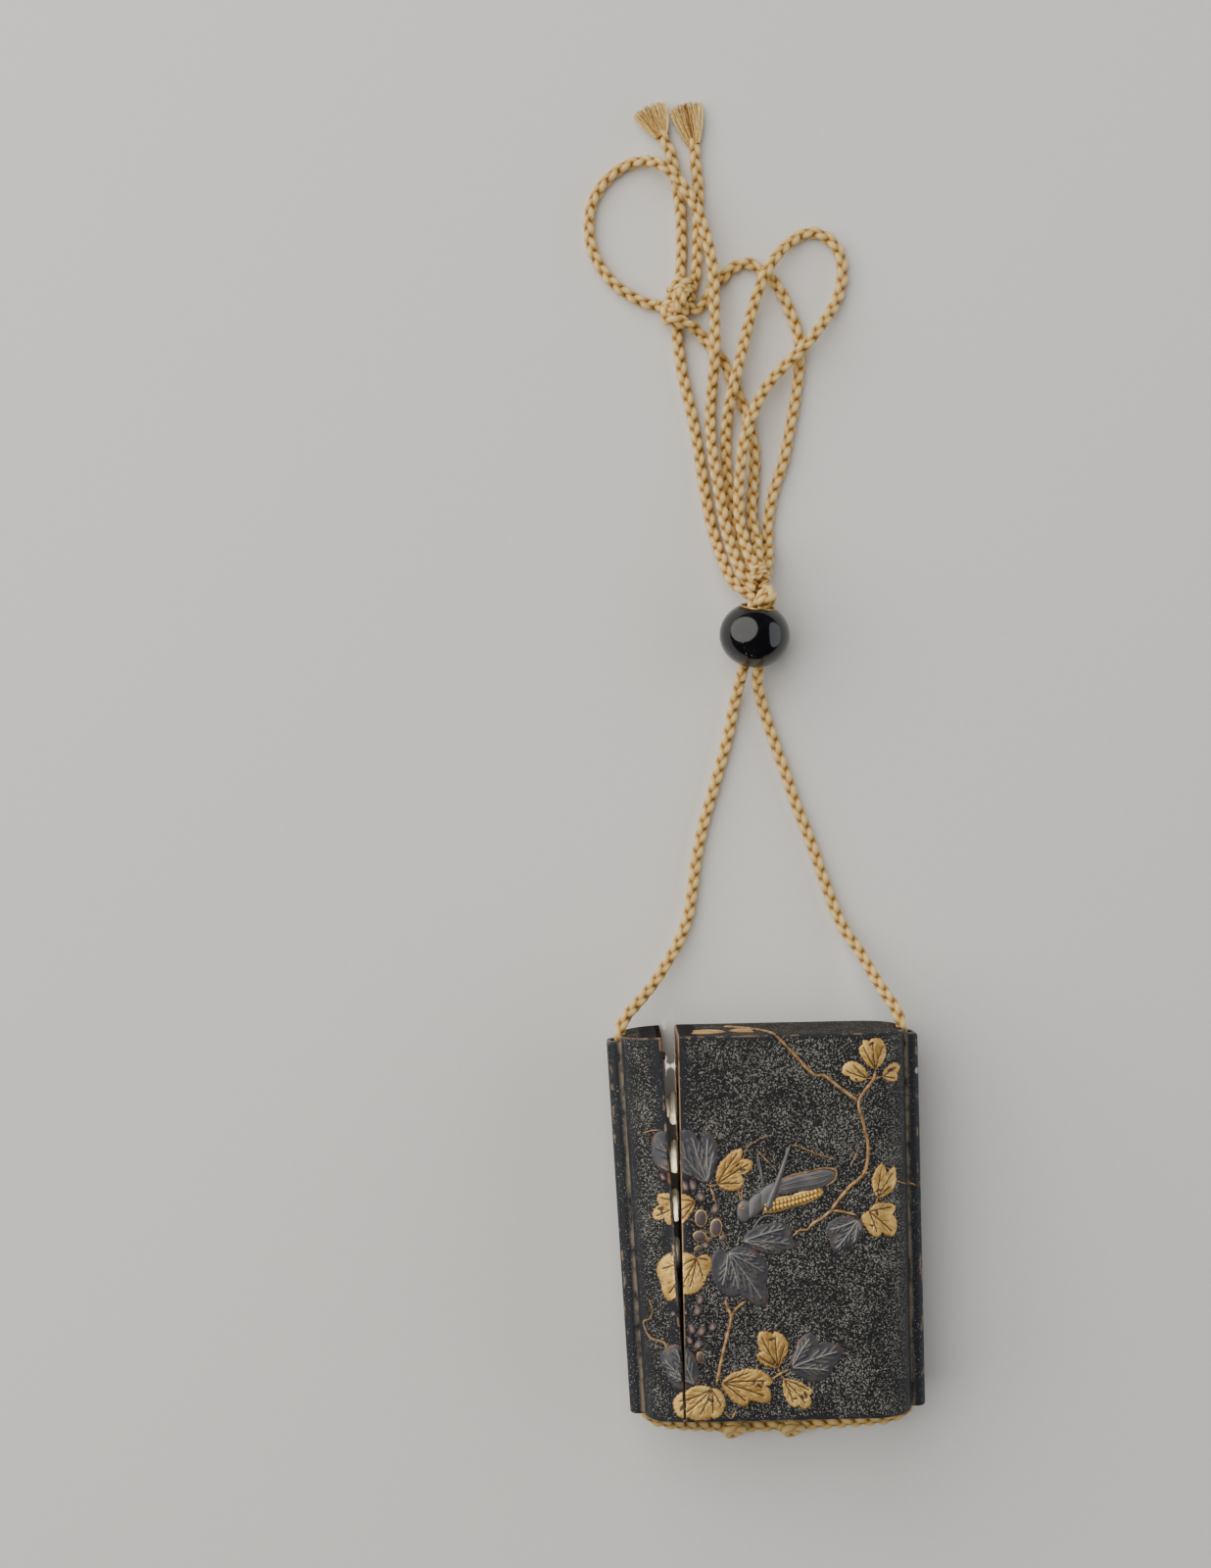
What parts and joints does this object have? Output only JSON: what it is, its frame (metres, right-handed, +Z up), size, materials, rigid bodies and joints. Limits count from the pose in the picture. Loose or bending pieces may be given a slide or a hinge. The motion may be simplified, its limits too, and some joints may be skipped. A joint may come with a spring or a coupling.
{
  "type": "inro case",
  "caption": "Lacquered inro case lying on its back: a hollow flattened case with drawers behind a side cover left ajar, on a braided silk cord with bead, knots and tassels.",
  "frame": {"origin": "on the surface that the case lies on, under the middle of the case with its side cover, leaving out the cord and what is on it", "axes": "+X to the case's right, +Y towards its top and along the laid-out cord, +Z up from its back to its decorated front"},
  "size_m": [0.0674, 0.2898, 0.0257],
  "materials": {
    "lacquer": "charcoal lacquer ground with fine silvery flecks, gold and pewter relief",
    "drawer_wood": "dark brown wood",
    "ivory": "polished, slightly yellowed ivory",
    "bead_black": "polished black with fine glints and a gold rim",
    "silk": "pale gold braided silk cord"
  },
  "bodies": {
    "root": {"case_main": "lacquer", "side_cover": "lacquer", "drawer_1": "drawer_wood", "drawer_2": "drawer_wood", "drawer_3": "drawer_wood", "drawer_4": "drawer_wood", "knob_1": "ivory", "knob_2": "ivory", "knob_3": "ivory", "knob_4": "ivory", "bead": "bead_black", "knot_lower": "silk", "knot_upper": "silk", "cord_left": "silk", "cord_right": "silk", "cord_case": "silk", "cord_a": "silk", "cord_b": "silk", "cord_cd": "silk", "cord_e": "silk", "cord_f": "silk", "tail_1": "silk", "tail_2": "silk", "tassel_1": "silk", "tassel_2": "silk"}
  },
  "joints": []
}
